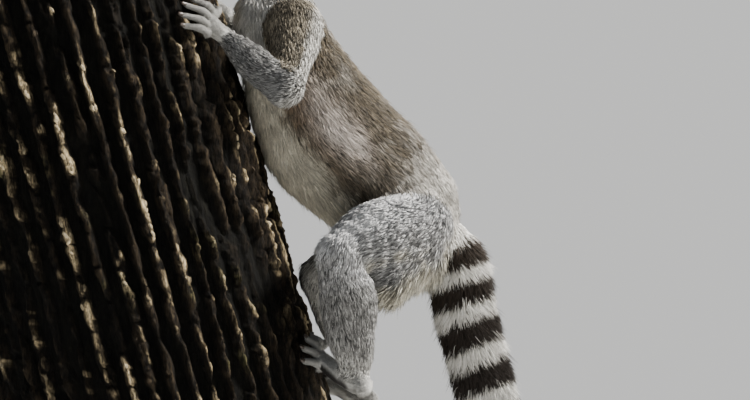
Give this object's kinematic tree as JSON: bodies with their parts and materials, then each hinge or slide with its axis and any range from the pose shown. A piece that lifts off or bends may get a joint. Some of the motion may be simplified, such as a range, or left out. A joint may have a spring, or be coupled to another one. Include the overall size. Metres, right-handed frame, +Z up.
{
  "type": "ring-tailed lemur",
  "caption": "Life-size ring-tailed lemur clinging to a cut length of leaning tree trunk, tail hanging, held by a plain display stand with two short rods.",
  "frame": {"origin": "the middle of the display base's underside, which rests on the floor", "axes": "+Z up; +X from the trunk toward the animal's back and tail; -Y toward the animal's left side"},
  "size_m": [0.7849, 0.4, 0.9105],
  "materials": {
    "fur_face": "short soft white and grey fur",
    "fur_pale": "soft cream-white fur",
    "fur_back": "dense soft grey-brown fur",
    "fur_limb": "dense soft grey fur with dark speckle",
    "fur_tail": "long soft fur in black and white rings",
    "nose_skin": "moist black skin",
    "eye": "glossy amber eye with a black pupil",
    "bark": "deeply furrowed dry bark",
    "stand_paint": "satin dark grey paint",
    "stand_steel": "brushed"
  },
  "bodies": {
    "root": {"head": "fur_face", "nose": "nose_skin", "eye_left": "eye", "eye_right": "eye", "ear_left": "fur_face", "ear_right": "fur_face", "neck": "fur_pale", "chest": "fur_back", "loin": "fur_back", "hips": "fur_back", "upper_arm_left": "fur_limb", "forearm_left": "fur_limb", "hand_left": "fur_pale", "thigh_left": "fur_limb", "shank_left": "fur_limb", "foot_left": "fur_pale", "upper_arm_right": "fur_limb", "forearm_right": "fur_limb", "hand_right": "fur_pale", "thigh_right": "fur_limb", "shank_right": "fur_limb", "foot_right": "fur_pale", "tail_1": "fur_tail", "tail_2": "fur_tail", "tail_3": "fur_tail", "tail_4": "fur_tail", "tail_5": "fur_tail", "perch_trunk": "bark", "stand_base": "stand_paint", "stand_plate": "stand_steel", "stand_rod_1": "stand_steel", "stand_rod_2": "stand_steel"}
  },
  "joints": []
}
